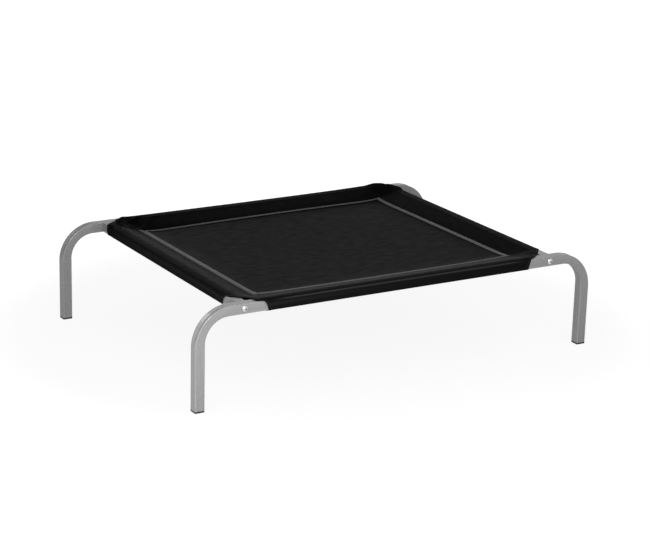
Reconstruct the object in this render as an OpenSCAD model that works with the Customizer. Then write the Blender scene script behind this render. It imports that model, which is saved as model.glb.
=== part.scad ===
// Raised dog cot: a bolted frame of square steel tube with a sewn cover sleeved over its rails.
// It stands on Z = 0 with its long side along X and its centre over the origin. Sizes are in millimetres.

/* [Frame] */
// Overall length, over the outer faces of the legs
cot_l = 900; // [760:5:1300]
// Overall width, over the outer faces of the side rails
cot_w = 630; // [440:5:900]
// Height of the top of the frame tube above the floor
cot_h = 200; // [150:1:300]
// Outer width of the square tube
tube_w = 20; // [18:0.5:25]
// Wall of the tube
tube_wall = 1.2; // [1:0.1:1.6]
// Outer corner radius of the tube
tube_corner_r = 1.5; // [1.3:0.1:4]
// Radius of the leg's bend at the middle of the tube
bend_r = 66; // [45:1:72]
// How much flatter the tube is at the middle of its bend, where the die presses its inner wall
bend_press = 3; // [0:0.5:5]
// Distance from the outer face of a leg to its corner bolt
bolt_inset = 102; // [100:1:150]
// Distance from the corner bolt to the end of the side rail
leg_run = 94; // [85:1:130]

/* [Leg spigot] */
// Length of the spigot inside the side rail
spigot_l = 45; // [30:1:70]
// Length of the taper from the tube down to the spigot
neck_l = 8; // [4:1:14]
// Gap between the spigot and the inside of the rail, each side
spigot_clear = 0.2; // [0.1:0.05:0.4]

/* [Corner fastening] */
// Diameter of the bolt's shank
bolt_d = 6; // [5:0.5:8]
// Length of the bolt under its head
bolt_l = 45; // [36:1:48]
// Length of the bevel at the bolt's tip
bolt_tip = 1; // [0.5:0.1:2]
// Diameter of the bolt's head
bolt_head_d = 12; // [10:0.5:16]
// Height of the bolt's head
bolt_head_h = 3.6; // [3:0.1:5]
// Height of the straight edge of the head below its dome
bolt_head_edge = 0.8; // [0.5:0.1:1.5]
// Width of the socket in the head, across its flats
socket_w = 4; // [3:0.5:5]
// Depth of the socket
socket_depth = 2.2; // [1.5:0.1:2.6]
// Gap between the bolt and its hole through the leg, on the diameter
bolt_clear = 0.4; // [0.2:0.1:0.8]
// Gap between the bolt and the bore of the end plug, on the diameter
thread_clear = 0.2; // [0.1:0.05:0.4]
// Length of the threaded plug in the cross rail's end
plug_l = 32; // [30:1:60]
// Gap between the plug and the inside of the rail, each side
plug_clear = 0.15; // [0.1:0.05:0.4]

/* [Feet] */
// Thickness of the lip that the leg stands on
cap_lip = 2; // [1.5:0.5:5]
// Length of the cap's stem inside the leg
cap_stem_l = 22; // [16:1:35]
// Width of the cap's stem between its fins
cap_stem_w = 13; // [10:0.5:14]
// Wall of the stem
cap_wall = 1.8; // [1.2:0.1:2.5]
// Number of fins on the stem
cap_fin_count = 3; // [2:1:4]
// Thickness of each fin
cap_fin_t = 1.2; // [0.8:0.1:2]
// Gap between the fins and the inside of the leg, each side
cap_clear = 0.15; // [0.1:0.05:0.4]

/* [Cover] */
// Thickness of the sleeve cloth
sleeve_t = 0.6; // [0.5:0.1:1.2]
// Thickness of the woven panel
panel_t = 0.8; // [0.5:0.1:1.2]
// Gap between a sleeve and its rail
sleeve_clear = 0.2; // [0.2:0.05:0.5]
// Distance from the outer face of a rail to the middle of the tape
border_w = 68; // [60:1:90]
// Width of the tape, and of the seam that it covers
tape_w = 10; // [6:0.5:14]
// Thickness of the tape
tape_t = 0.6; // [0.4:0.1:1]
// How far the panel stops short of the place where the sleeve's layers part
panel_relief = 1; // [0.5:0.5:3]
// Distance in plan from the bolt's corner of the frame to the cut corner of the cover
corner_cut = 20.5; // [18:0.5:30]
// Lean of that cut, which leaves the sleeve shorter at the bottom than at the top
corner_lean = 25; // [0:1:35]
// Gap between two sleeves where they meet at a corner
mitre_gap = 0.3; // [0.2:0.1:1]

/* [Hidden] */
$fn = 64;
// Facet count of the rounded sections that the tapered necks are drawn between
neck_fn = 32;
// Overlap that lets a cut run past the face it opens
over = 1;
// Thickness of the end slices of a tapered neck
slice = 0.01;
// Width of the block that trims a sleeve's end, larger than any sleeve
trim = 400;

// The square tube and its spigot
tube_bore = tube_w - 2 * tube_wall;
bore_corner_r = max(tube_corner_r - tube_wall, slice);
spigot_w = tube_bore - 2 * spigot_clear;
spigot_bore = spigot_w - 2 * tube_wall;
spigot_corner_r = max(bore_corner_r - spigot_clear, slice);
spigot_bore_r = max(spigot_corner_r - tube_wall / 2, slice);

// Places in the frame: the legs' feet, the corner bolts and the middle of the rails
foot_x = cot_l / 2 - tube_w / 2;
rail_y = cot_w / 2 - tube_w / 2;
rail_z = cot_h - tube_w / 2;
bolt_x = cot_l / 2 - bolt_inset;
side_rail_l = 2 * (bolt_x - leg_run);
cross_rail_l = cot_w - 2 * tube_w;
press_r = bend_r - bend_press / (sqrt(2) - 1);
half_lap = tube_w / 10;
neck_x = foot_x - bolt_x + leg_run - neck_l;

// The sleeve's section, measured inwards from the middle of its rail
seam_start = border_w - tube_w / 2 - tape_w / 2;
tape_z = rail_z + panel_t / 2 + sleeve_t;
rail_grow = sleeve_clear + sleeve_t;

// Finishes
steel_grey = [0.60, 0.60, 0.61];
zinc_bright = [0.86, 0.87, 0.88];
plug_grey = [0.45, 0.45, 0.46];
plastic_black = [0.08, 0.08, 0.08];
cloth_black = [0.11, 0.11, 0.11];
panel_black = [0.14, 0.14, 0.14];
tape_grey = [0.32, 0.32, 0.33];

// Puts a piece drawn at the front left corner at any corner of the cot
module at_corner(right = false, rear = false) {
    mirror([right ? 1 : 0, 0, 0]) mirror([0, rear ? 1 : 0, 0]) children();
}

// Turns a flat section into a bar along X: the section's x runs along Y and its y along Z
module along_x(l) {
    rotate([90, 0, 90]) linear_extrude(l) children();
}

// Square with round corners
module rounded_square(w, r) {
    square([w, w - 2 * r], center = true);
    square([w - 2 * r, w], center = true);
    for (x = [-1, 1], y = [-1, 1])
        translate([x * (w / 2 - r), y * (w / 2 - r)]) circle(r);
}

// Section of the frame's tube
module tube_section() {
    difference() {
        rounded_square(tube_w, tube_corner_r);
        rounded_square(tube_bore, bore_corner_r);
    }
}

// Outer (1) or inner (-1) side of the tube in a bend, with enough of the side walls to overlap the other side
module half_section(side) {
    intersection() {
        tube_section();
        translate([side * (tube_w / 4 - half_lap / 2), 0])
            square([tube_w / 2 + half_lap, tube_w], center = true);
    }
}

// Section of the swaged end of a leg
module spigot_section() {
    difference() {
        rounded_square(spigot_w, spigot_corner_r);
        rounded_square(spigot_bore, spigot_bore_r);
    }
}

// Solid taper along X between two square sections
module taper(w_start, r_start, w_end, r_end) {
    hull() {
        along_x(slice) rounded_square(w_start, r_start, $fn = neck_fn);
        translate([neck_l - slice, 0, 0]) along_x(slice) rounded_square(w_end, r_end, $fn = neck_fn);
    }
}

// Outer or inner side of a leg's upright, bend and run, with the bend's own radius on that side
module bent_half(side, r) {
    translate([0, 0, cap_lip]) linear_extrude(rail_z - r - cap_lip) mirror([1, 0, 0]) half_section(side);
    translate([r, 0, rail_z - r]) mirror([1, 0, 0]) rotate([90, 0, 0])
        rotate_extrude(angle = 90) translate([r, 0]) half_section(side);
    translate([r, 0, rail_z]) along_x(neck_x - r) rotate(90) half_section(side);
}

// Front left leg: upright, bend, run along the long side, tapered neck and spigot
module leg() {
    color(steel_grey)
    translate([-foot_x, -rail_y, 0])
    difference() {
        union() {
            bent_half(1, bend_r);
            bent_half(-1, press_r);
            translate([neck_x, 0, rail_z]) difference() {
                taper(tube_w, tube_corner_r, spigot_w, spigot_corner_r);
                taper(tube_bore, bore_corner_r, spigot_bore, spigot_bore_r);
            }
            translate([neck_x + neck_l, 0, rail_z]) along_x(spigot_l) spigot_section();
        }
        translate([foot_x - bolt_x, tube_w / 2 + over, rail_z]) rotate([90, 0, 0])
            cylinder(d = bolt_d + bolt_clear, h = tube_w + 2 * over);
    }
}

// Front rail of the long sides, open at both ends for the legs' spigots
module side_rail() {
    color(steel_grey)
    translate([-side_rail_l / 2, -rail_y, rail_z]) along_x(side_rail_l) tube_section();
}

// Left rail between the legs
module cross_rail() {
    color(steel_grey)
    translate([-bolt_x, -cross_rail_l / 2, rail_z]) rotate([0, 0, 90]) along_x(cross_rail_l) tube_section();
}

// Threaded plug in the front end of the left cross rail
module end_plug() {
    color(plug_grey)
    translate([-bolt_x, -cross_rail_l / 2, rail_z]) rotate([0, 0, 90])
    difference() {
        along_x(plug_l) rounded_square(tube_bore - 2 * plug_clear, bore_corner_r);
        translate([-over, 0, 0]) rotate([0, 90, 0])
            cylinder(d = bolt_d + thread_clear, h = plug_l + 2 * over);
    }
}

// Front left bolt: domed head with a hexagon socket, and a shank through the leg into the plug
module corner_bolt() {
    rise = bolt_head_h - bolt_head_edge;
    dome_r = (pow(bolt_head_d / 2, 2) + rise * rise) / (2 * rise);
    color(zinc_bright)
    translate([-bolt_x, -cot_w / 2, rail_z]) rotate([90, 0, 0]) {
        difference() {
            intersection() {
                cylinder(d = bolt_head_d, h = bolt_head_h);
                translate([0, 0, bolt_head_h - dome_r]) sphere(dome_r);
            }
            translate([0, 0, bolt_head_h - socket_depth])
                cylinder(d = socket_w / cos(30), h = socket_depth + over, $fn = 6);
        }
        translate([0, 0, bolt_tip - bolt_l]) cylinder(d = bolt_d, h = bolt_l - bolt_tip);
        translate([0, 0, -bolt_l]) cylinder(d1 = bolt_d - 2 * bolt_tip, d2 = bolt_d, h = bolt_tip);
    }
}

// Front left foot cap: a lip under the leg, and a hollow stem with fins that grip the tube
module foot_cap() {
    fin_w = tube_bore - 2 * cap_clear;
    fin_step = cap_stem_l / cap_fin_count;
    color(plastic_black)
    translate([-foot_x, -rail_y, 0])
    difference() {
        union() {
            linear_extrude(cap_lip) rounded_square(tube_w, tube_corner_r);
            translate([0, 0, cap_lip]) linear_extrude(cap_stem_l)
                rounded_square(cap_stem_w, bore_corner_r);
            for (i = [1 : cap_fin_count])
                translate([0, 0, cap_lip + i * fin_step - cap_fin_t]) linear_extrude(cap_fin_t)
                    rounded_square(fin_w, bore_corner_r);
        }
        translate([0, 0, cap_lip]) linear_extrude(cap_stem_l + over)
            square(cap_stem_w - 2 * cap_wall, center = true);
    }
}

// Point where a line from s touches a circle at c, on its upper (1) or lower (-1) side
function touch(s, c, r, side) =
    let (a = atan2(s.y - c.y, s.x - c.x) + side * acos(r / norm(s - c)))
    c + r * [cos(a), sin(a)];

// Solid bar of the space inside a surface drawn round a rail and in to the seam, grown from the rail
module sleeve_bar(l, grow, half_seam, seam_l) {
    corner = tube_w / 2 - tube_corner_r;
    r = tube_corner_r + grow;
    along_x(l) rounded_square(tube_w + 2 * grow, r);
    along_x(l) polygon([
        touch([seam_start, half_seam], [corner, corner], r, 1),
        [seam_start, half_seam],
        [seam_start + seam_l, half_seam],
        [seam_start + seam_l, -half_seam],
        [seam_start, -half_seam],
        touch([seam_start, -half_seam], [corner, -corner], r, -1)
    ]);
}

// Everything beyond the joint of two borders at one end of a rail that is half_l long from its middle
module beyond_mitre(half_l, gap) {
    translate([half_l, 0, 0]) rotate([0, 0, 45]) translate([-gap / 2, -trim / 2, -trim / 2]) cube(trim);
}

// Everything beyond the leaning cut across a corner of the cover
module beyond_corner_cut(half_l) {
    translate([half_l, 0, tube_w / 2]) rotate([0, 0, -45]) translate([-corner_cut, 0, 0])
        rotate([0, corner_lean, 0]) translate([0, -trim / 2, -trim / 2]) cube(trim);
}

// Sleeve on a rail along X, with the panel to its +Y side, between corner bolts half_l from its middle:
// one strip of cloth round the rail, its two edges lying on the panel at the seam
module sleeve(half_l) {
    color(cloth_black)
    difference() {
        translate([-half_l, 0, 0]) sleeve_bar(2 * half_l, rail_grow, panel_t / 2 + sleeve_t, tape_w);
        translate([-half_l - over, 0, 0])
            sleeve_bar(2 * (half_l + over), sleeve_clear, panel_t / 2, tape_w + over);
        for (end = [0, 1]) mirror([end, 0, 0]) {
            beyond_mitre(half_l, mitre_gap);
            beyond_corner_cut(half_l);
        }
    }
}

// Tape over the seam of that sleeve, mitred to its neighbours
module seam_tape(half_l) {
    color(tape_grey)
    difference() {
        translate([-half_l, seam_start, tape_z - rail_z]) cube([2 * half_l, tape_w, tape_t]);
        for (end = [0, 1]) mirror([end, 0, 0]) beyond_mitre(half_l, mitre_gap);
    }
}

// Puts a border piece drawn on a rail along X on the front rail, or on the left one
module on_front() { translate([0, -rail_y, rail_z]) children(); }
module on_left() { translate([-bolt_x, 0, rail_z]) rotate([0, 0, -90]) children(); }

// Woven panel, its edges between the sleeves' two layers
module sleeping_panel() {
    inset = seam_start + panel_relief;
    color(panel_black)
    translate([0, 0, rail_z])
        cube([2 * (bolt_x - inset), 2 * (rail_y - inset), panel_t], center = true);
}

at_corner() leg();  // leg_front_left
at_corner(right = true) leg();  // leg_front_right
at_corner(rear = true) leg();  // leg_rear_left
at_corner(right = true, rear = true) leg();  // leg_rear_right
at_corner() side_rail();  // side_rail_front
at_corner(rear = true) side_rail();  // side_rail_rear
at_corner() cross_rail();  // cross_rail_left
at_corner(right = true) cross_rail();  // cross_rail_right
at_corner() end_plug();  // end_plug_front_left
at_corner(right = true) end_plug();  // end_plug_front_right
at_corner(rear = true) end_plug();  // end_plug_rear_left
at_corner(right = true, rear = true) end_plug();  // end_plug_rear_right
at_corner() corner_bolt();  // corner_bolt_front_left
at_corner(right = true) corner_bolt();  // corner_bolt_front_right
at_corner(rear = true) corner_bolt();  // corner_bolt_rear_left
at_corner(right = true, rear = true) corner_bolt();  // corner_bolt_rear_right
at_corner() foot_cap();  // foot_cap_front_left
at_corner(right = true) foot_cap();  // foot_cap_front_right
at_corner(rear = true) foot_cap();  // foot_cap_rear_left
at_corner(right = true, rear = true) foot_cap();  // foot_cap_rear_right
sleeping_panel();
at_corner() on_front() sleeve(bolt_x);  // sleeve_front
at_corner(rear = true) on_front() sleeve(bolt_x);  // sleeve_rear
at_corner() on_left() sleeve(rail_y);  // sleeve_left
at_corner(right = true) on_left() sleeve(rail_y);  // sleeve_right
at_corner() on_front() seam_tape(bolt_x);  // seam_tape_front
at_corner(rear = true) on_front() seam_tape(bolt_x);  // seam_tape_rear
at_corner() on_left() seam_tape(rail_y);  // seam_tape_left
at_corner(right = true) on_left() seam_tape(rail_y);  // seam_tape_right
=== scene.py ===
import math

import bmesh
import bpy
import numpy as np
from mathutils import Matrix, Vector, noise


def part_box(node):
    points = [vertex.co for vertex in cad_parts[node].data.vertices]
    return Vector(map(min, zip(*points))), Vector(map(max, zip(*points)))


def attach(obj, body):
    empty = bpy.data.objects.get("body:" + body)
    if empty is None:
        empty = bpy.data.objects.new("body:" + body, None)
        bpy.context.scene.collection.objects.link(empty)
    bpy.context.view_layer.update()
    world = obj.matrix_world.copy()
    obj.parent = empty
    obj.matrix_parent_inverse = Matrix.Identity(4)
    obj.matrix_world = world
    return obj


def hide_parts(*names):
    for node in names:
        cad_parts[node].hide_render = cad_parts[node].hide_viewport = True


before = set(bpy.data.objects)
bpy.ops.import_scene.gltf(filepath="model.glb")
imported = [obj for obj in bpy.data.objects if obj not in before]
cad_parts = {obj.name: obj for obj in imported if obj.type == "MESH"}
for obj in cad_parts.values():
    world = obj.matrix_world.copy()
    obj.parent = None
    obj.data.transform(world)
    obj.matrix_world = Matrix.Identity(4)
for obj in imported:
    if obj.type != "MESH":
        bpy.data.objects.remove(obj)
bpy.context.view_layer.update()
print("frame loaded,", len(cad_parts), "nodes")

mm = 0.001  # every size below is in millimetres, every mesh in metres


def linear(hexColour):  # sRGB hex to the linear colour that a socket takes
    parts = [int(hexColour[i : i + 2], 16) / 255 for i in (1, 3, 5)]
    return [c / 12.92 if c <= 0.04045 else ((c + 0.055) / 1.055) ** 2.4 for c in parts] + [1.0]


def addNode(tree, kind, sockets=None, **settings):  # a node given to a socket stands for its first output
    node = tree.nodes.new(kind)
    for name, value in settings.items():
        setattr(node, name, value)
    for name, value in (sockets or {}).items():
        if isinstance(value, bpy.types.Node):
            value = next(output for output in value.outputs if output.enabled)
        if isinstance(value, bpy.types.NodeSocket):
            tree.links.new(value, node.inputs[name])
        else:
            node.inputs[name].default_value = value
    return node


def startMaterial(name):
    material = bpy.data.materials.new(name)
    material.use_nodes = True
    material.node_tree.nodes.clear()
    return material, material.node_tree


def endMaterial(material, shader):
    addNode(material.node_tree, "ShaderNodeOutputMaterial", {"Surface": shader})
    return material


def addObject(name, data):
    piece = bpy.data.objects.new(name, data)
    bpy.context.scene.collection.objects.link(piece)
    return piece


def boxOf(name):  # the lowest and highest corner of a node, in mm
    return [np.array(corner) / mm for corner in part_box(name)]


def span(end, pair):  # a range's sockets of a node, From or To
    return {f"{end} Min": pair[0], f"{end} Max": pair[1]}


def smoothStep(x):
    x = np.clip(x, 0.0, 1.0)
    return x * x * (3 - 2 * x)


# Finishes of the frame

noiseRange = (0.3, 0.7)  # where nearly all of a noise lies

coat = {
    "colour": "#959595", "fleck": "#a8a8a8", "dull": "#888888",
    "grit": 1.6, "flakeRange": (0.34, 0.68), "plain": 0.55,
    "arris": "#a1a1a1", "arrisHighlightFrom": 17.7, "arrisHighlightFull": 18.5,  # painted highlight colour along the tube's edges, and where it comes in, as summed distances from its middle planes
    "streak": 3.0, "streakLength": 140.0, "streakDepth": 0.08,
    "footDark": "#3a3a3a", "footDarkTop": 3.6, "footDarkFade": 0.8,
    "peel": 2.2, "peelBump": 0.25, "peelDepth": 0.06,
    "drift": 60.0, "roughness": (0.27, 0.3), "metallic": 0.12, "specular": 0.15,
}


def powderCoatedSteel():  # baked silver powder: satin grey, fine flake sparkle, orange peel, a painted highlight along the edges
    material, tree = startMaterial("powderCoatedSteel")
    place = addNode(tree, "ShaderNodeTexCoord").outputs["Object"]
    flake = addNode(tree, "ShaderNodeTexNoise", {  # real flake is under 0.3 mm, drawn coarser to show
        "Vector": place, "Scale": 1 / (coat["grit"] * mm), "Detail": 2.0, "Roughness": 0.65})
    drift = addNode(tree, "ShaderNodeTexNoise", {
        "Vector": place, "Scale": 1 / (coat["drift"] * mm), "Detail": 3.0})
    shade = addNode(tree, "ShaderNodeValToRGB", {"Fac": flake})
    for stop, position, key in zip(shade.color_ramp.elements, coat["flakeRange"], ("dull", "fleck")):
        stop.position = position
        stop.color = linear(coat[key])
    body = addNode(tree, "ShaderNodeMix", {
        "Factor": coat["plain"], 6: shade, 7: linear(coat["colour"])}, data_type="RGBA")
    tube = addNode(tree, "ShaderNodeAttribute", attribute_name="tube").outputs["Vector"]
    apart = addNode(tree, "ShaderNodeVectorMath", {0: tube}, operation="ABSOLUTE")
    section = addNode(tree, "ShaderNodeSeparateXYZ", {"Vector": apart})
    corner = addNode(tree, "ShaderNodeMath", {
        0: section.outputs["X"], 1: section.outputs["Y"]}, operation="ADD")
    arris = addNode(tree, "ShaderNodeMapRange", {  # painted highlight: a paler grey over the tube's edges
        "Value": corner, "From Min": coat["arrisHighlightFrom"] * mm, "From Max": coat["arrisHighlightFull"] * mm})
    body = addNode(tree, "ShaderNodeMix", {
        "Factor": arris, 6: body, 7: linear(coat["arris"])}, data_type="RGBA")
    across, lengthways = 1 / (coat["streak"] * mm), 1 / (coat["streakLength"] * mm)
    drawn = addNode(tree, "ShaderNodeVectorMath", {  # faint lines along the drawn tube
        0: tube, 1: (across, across, lengthways)}, operation="MULTIPLY")
    streak = addNode(tree, "ShaderNodeTexNoise", {"Vector": drawn, "Scale": 1.0, "Detail": 2.0})
    tone = addNode(tree, "ShaderNodeMapRange", {
        "Value": streak, **span("From", noiseRange),
        "To Min": 1 - coat["streakDepth"], "To Max": 1 + coat["streakDepth"]})
    body = addNode(tree, "ShaderNodeMix", {
        "Factor": 1.0, 6: body, 7: tone}, data_type="RGBA", blend_type="MULTIPLY")
    height = addNode(tree, "ShaderNodeSeparateXYZ", {"Vector": place})
    undarkened = addNode(tree, "ShaderNodeMapRange", {  # darker over the leg's lowest few mm, just above the foot cap's lip
        "Value": height.outputs["Z"],
        "From Min": (coat["footDarkTop"] - coat["footDarkFade"]) * mm, "From Max": coat["footDarkTop"] * mm})
    body = addNode(tree, "ShaderNodeMix", {
        "Factor": undarkened, 6: linear(coat["footDark"]), 7: body}, data_type="RGBA")
    gloss = addNode(tree, "ShaderNodeMapRange", {
        "Value": drift, **span("From", noiseRange), **span("To", coat["roughness"])})
    peel = addNode(tree, "ShaderNodeTexNoise", {
        "Vector": place, "Scale": 1 / (coat["peel"] * mm), "Detail": 1.0})
    bump = addNode(tree, "ShaderNodeBump", {
        "Height": peel, "Strength": coat["peelBump"], "Distance": coat["peelDepth"] * mm})
    shader = addNode(tree, "ShaderNodeBsdfPrincipled", {
        "Base Color": body, "Metallic": coat["metallic"], "Roughness": gloss,
        "Specular IOR Level": coat["specular"], "Normal": bump})
    return endMaterial(material, shader)


# the edge colour is painted shade, laid where the head's surface turns away from its face
zinc = {"colour": "#d8d8d8", "cloud": "#bcbcbc", "edge": "#5e5e5e", "patch": 2.5,
        "roughness": (0.34, 0.46), "edgeShadeRange": (0.25, 0.62)}


def zincPlatedSteel():  # bright plating with faint cloudy patches, and painted shade round the head's edge and in its socket
    material, tree = startMaterial("zincPlatedSteel")
    given = addNode(tree, "ShaderNodeTexCoord").outputs
    cloud = addNode(tree, "ShaderNodeTexNoise", {
        "Vector": given["Object"], "Scale": 1 / (zinc["patch"] * mm), "Detail": 3.0})
    tint = addNode(tree, "ShaderNodeMix", {
        "Factor": cloud, 6: linear(zinc["cloud"]), 7: linear(zinc["colour"])}, data_type="RGBA")
    gloss = addNode(tree, "ShaderNodeMapRange", {"Value": cloud, **span("To", zinc["roughness"])})
    facing = addNode(tree, "ShaderNodeSeparateXYZ", {"Vector": given["Normal"]})
    level = addNode(tree, "ShaderNodeMath", {0: facing.outputs["Y"]}, operation="ABSOLUTE")
    undarkened = addNode(tree, "ShaderNodeMapRange", {
        "Value": level, **span("From", zinc["edgeShadeRange"])}, interpolation_type="SMOOTHSTEP")
    # painted shade mixed in round the head's rim and in its socket
    toned = addNode(tree, "ShaderNodeMix", {
        "Factor": undarkened, 6: linear(zinc["edge"]), 7: tint}, data_type="RGBA")
    shader = addNode(tree, "ShaderNodeBsdfPrincipled", {
        "Base Color": toned, "Metallic": 1.0, "Roughness": gloss})
    return endMaterial(material, shader)


turned = {"colour": "#8b8d8f", "groove": 0.35, "bands": 20.0, "depth": 0.02, "roughness": (0.3, 0.42)}


def turnedSteel():  # bare turned bar: fine rings left by the tool
    material, tree = startMaterial("turnedSteel")
    place = addNode(tree, "ShaderNodeTexCoord").outputs["Object"]
    rings = addNode(tree, "ShaderNodeTexWave", {
        "Vector": place, "Scale": 1 / (turned["groove"] * turned["bands"] * mm), "Distortion": 1.5},
        bands_direction="Y")
    bump = addNode(tree, "ShaderNodeBump", {
        "Height": rings.outputs["Fac"], "Strength": 0.3, "Distance": turned["depth"] * mm})
    gloss = addNode(tree, "ShaderNodeMapRange", {
        "Value": rings.outputs["Fac"], **span("To", turned["roughness"])})
    shader = addNode(tree, "ShaderNodeBsdfPrincipled", {
        "Base Color": linear(turned["colour"]), "Metallic": 1.0, "Roughness": gloss, "Normal": bump})
    return endMaterial(material, shader)


capPlastic = {"colour": "#121213", "scuffAndHighlight": "#1e1e1f", "grain": 0.9, "grainDepth": 0.05, "scuff": 7.0,
              "scuffRange": (0.45, 0.75), "roughness": 0.7, "specular": 0.1}


def mouldedPolyethylene():  # black moulding with a fine spark-eroded grain, a little paler where it is rubbed
    material, tree = startMaterial("mouldedPolyethylene")
    place = addNode(tree, "ShaderNodeTexCoord").outputs["Object"]
    grain = addNode(tree, "ShaderNodeTexNoise", {
        "Vector": place, "Scale": 1 / (capPlastic["grain"] * mm), "Detail": 3.0})
    scuff = addNode(tree, "ShaderNodeTexNoise", {
        "Vector": place, "Scale": 1 / (capPlastic["scuff"] * mm), "Detail": 4.0})
    scuffAndHighlight = addNode(tree, "ShaderNodeMapRange", {"Value": scuff, **span("From", capPlastic["scuffRange"])})
    tint = addNode(tree, "ShaderNodeMix", {
        "Factor": scuffAndHighlight, 6: linear(capPlastic["colour"]), 7: linear(capPlastic["scuffAndHighlight"])},
        data_type="RGBA")
    bump = addNode(tree, "ShaderNodeBump", {
        "Height": grain, "Strength": 0.4, "Distance": capPlastic["grainDepth"] * mm})
    shader = addNode(tree, "ShaderNodeBsdfPrincipled", {
        "Base Color": tint, "Roughness": capPlastic["roughness"],
        "Specular IOR Level": capPlastic["specular"], "Normal": bump})
    return endMaterial(material, shader)


# Finishes of the cover. Each reads its own UV map, which is in metres along and across the cloth.

# what all the cloths share: length of the threads' waver in mm, size and height of a slub against a thread,
# how far the dye's clouds lighten the cloth, and the power by which the nap brightens at a low angle
cloth = {"waver": 25.0, "slub": 1.7, "slubHeight": 0.6, "clouding": 0.55, "lowAngle": 5.0}


def weave(tree, pitch, wander):  # heights of a plain weave, threads pitch mm apart, wavering by wander mm
    flat = addNode(tree, "ShaderNodeUVMap", uv_map="cloth").outputs["UV"]
    waver = addNode(tree, "ShaderNodeTexNoise", {
        "Vector": flat, "Scale": 1 / (cloth["waver"] * mm), "Detail": 2.0})
    centred = addNode(tree, "ShaderNodeVectorMath", {
        0: waver.outputs["Color"], 1: (0.5, 0.5, 0.5)}, operation="SUBTRACT")
    moved = addNode(tree, "ShaderNodeVectorMath", {
        0: centred, 1: (wander * mm, wander * mm, 0.0), 2: flat}, operation="MULTIPLY_ADD")
    turns = addNode(tree, "ShaderNodeVectorMath", {
        0: moved, "Scale": math.pi / (pitch * mm)}, operation="SCALE")
    wave = addNode(tree, "ShaderNodeVectorMath", {0: turns}, operation="SINE")
    across = addNode(tree, "ShaderNodeSeparateXYZ", {"Vector": wave})
    crossing = addNode(tree, "ShaderNodeMath", {
        0: across.outputs["X"], 1: across.outputs["Y"]}, operation="MULTIPLY")
    height = addNode(tree, "ShaderNodeMapRange", {"Value": crossing, "From Min": -1.0})
    return flat, height.outputs["Result"]


def clothMaterial(name, look):  # threads, a cloudy dye, painted highlights and painted fold shade marked by point attributes, and a nap that brightens at a low angle
    material, tree = startMaterial(name)
    flat, height = weave(tree, look["pitch"], look["wander"])
    cloud = addNode(tree, "ShaderNodeTexNoise", {
        "Vector": flat, "Scale": 1 / (look["cloud"] * mm), "Detail": 5.0, "Roughness": 0.62})
    slub = addNode(tree, "ShaderNodeTexNoise", {
        "Vector": flat, "Scale": 1 / (look["pitch"] * cloth["slub"] * mm), "Detail": 2.0})
    mottle = addNode(tree, "ShaderNodeMapRange", {
        "Value": cloud, **span("From", noiseRange), "To Max": cloth["clouding"]})
    shade = addNode(tree, "ShaderNodeMath", {
        0: height, 1: look["threadShade"], 2: mottle}, operation="MULTIPLY_ADD", use_clamp=True)
    tint = addNode(tree, "ShaderNodeMix", {
        "Factor": shade, 6: linear(look["deep"]), 7: linear(look["toned"])}, data_type="RGBA")
    # painted highlight: a paler colour mixed in where a point attribute marks the cloth
    scuffAndHighlight = addNode(tree, "ShaderNodeAttribute", attribute_name="paintedLight")
    tint = addNode(tree, "ShaderNodeMix", {
        "Factor": scuffAndHighlight.outputs["Fac"], 6: tint, 7: linear(look["scuffAndHighlight"])}, data_type="RGBA")
    relief = addNode(tree, "ShaderNodeMath", {
        0: slub, 1: cloth["slubHeight"], 2: height}, operation="MULTIPLY_ADD")
    bump = addNode(tree, "ShaderNodeBump", {
        "Height": relief, "Strength": look["bump"], "Distance": look["relief"] * mm})
    body = addNode(tree, "ShaderNodeBsdfPrincipled", {
        "Base Color": tint, "Roughness": look["roughness"], "Specular IOR Level": look["specular"],
        "Normal": bump})
    tips = addNode(tree, "ShaderNodeBsdfGlossy", {
        "Color": (1, 1, 1, 1), "Roughness": look["roughness"], "Normal": bump})
    angle = addNode(tree, "ShaderNodeLayerWeight", {"Blend": 0.5, "Normal": bump})
    low = addNode(tree, "ShaderNodeMath", {
        0: angle.outputs["Facing"], 1: cloth["lowAngle"]}, operation="POWER")
    lengthways = addNode(tree, "ShaderNodeVectorMath", {
        0: flat, 1: (1 / look["stretch"], 1.0, 1.0)}, operation="MULTIPLY")
    uneven = addNode(tree, "ShaderNodeTexNoise", {
        "Vector": lengthways, "Scale": 1 / (look["patch"] * mm), "Detail": 3.0, "Roughness": 0.6})
    strength = addNode(tree, "ShaderNodeMapRange", {
        "Value": uneven, **span("From", noiseRange),
        "To Min": look["nap"] * (1 - look["uneven"]), "To Max": look["nap"] * (1 + look["uneven"])})
    # painted shade: the nap's sheen is taken away where a point attribute marks folds and the tapes' shaded
    # stretches
    napShade = addNode(tree, "ShaderNodeAttribute", attribute_name="napShade")
    smooth = addNode(tree, "ShaderNodeMath", {
        0: 1.0, 1: napShade.outputs["Fac"]}, operation="SUBTRACT", use_clamp=True)
    unshadedNap = addNode(tree, "ShaderNodeMath", {0: strength, 1: smooth}, operation="MULTIPLY")
    nap = addNode(tree, "ShaderNodeMath", {0: low, 1: unshadedNap}, operation="MULTIPLY")
    shader = addNode(tree, "ShaderNodeMixShader", {"Fac": nap, 1: body, 2: tips})
    return endMaterial(material, shader)


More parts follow.
